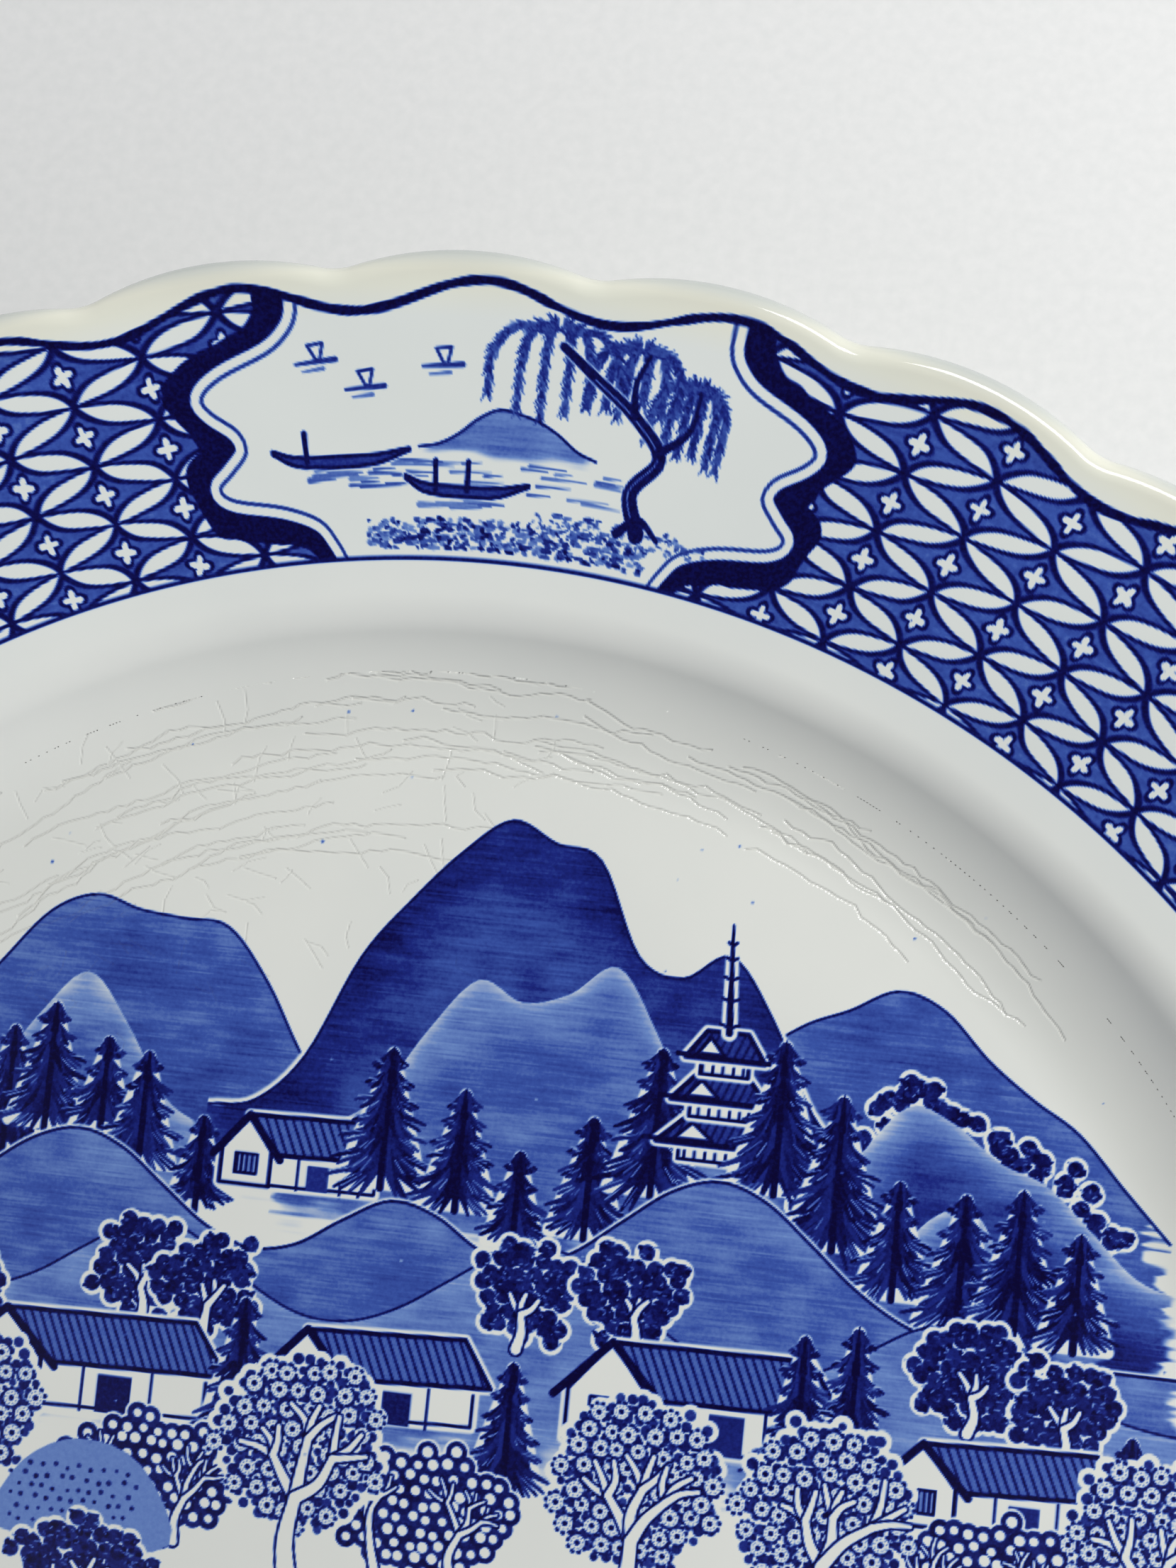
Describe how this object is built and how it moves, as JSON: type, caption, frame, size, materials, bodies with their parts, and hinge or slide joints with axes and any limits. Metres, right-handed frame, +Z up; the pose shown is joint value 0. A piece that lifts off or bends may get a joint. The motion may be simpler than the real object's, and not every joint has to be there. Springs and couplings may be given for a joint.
{
  "type": "china dinner plate",
  "caption": "Scalloped earthenware dinner plate with a blue underglaze landscape print, a lattice border and a clear crazed glaze.",
  "frame": {"origin": "centre of the foot, on the surface the plate stands on", "axes": "+Z up out of the well along the plate's axis; +Y towards the top of the printed scene"},
  "size_m": [0.2638, 0.2638, 0.0248],
  "materials": {
    "biscuit": "fired cream-white earthenware, bare only on the tread of the foot",
    "cobalt_ink": "cobalt blue transfer print under the glaze",
    "clear_glaze": "glossy clear glaze over white earthenware, finely crazed"
  },
  "bodies": {
    "root": {"biscuit_body": "biscuit", "centre_print": "cobalt_ink", "border_print": "cobalt_ink", "glaze": "clear_glaze", "base_glaze": "clear_glaze"}
  },
  "joints": []
}
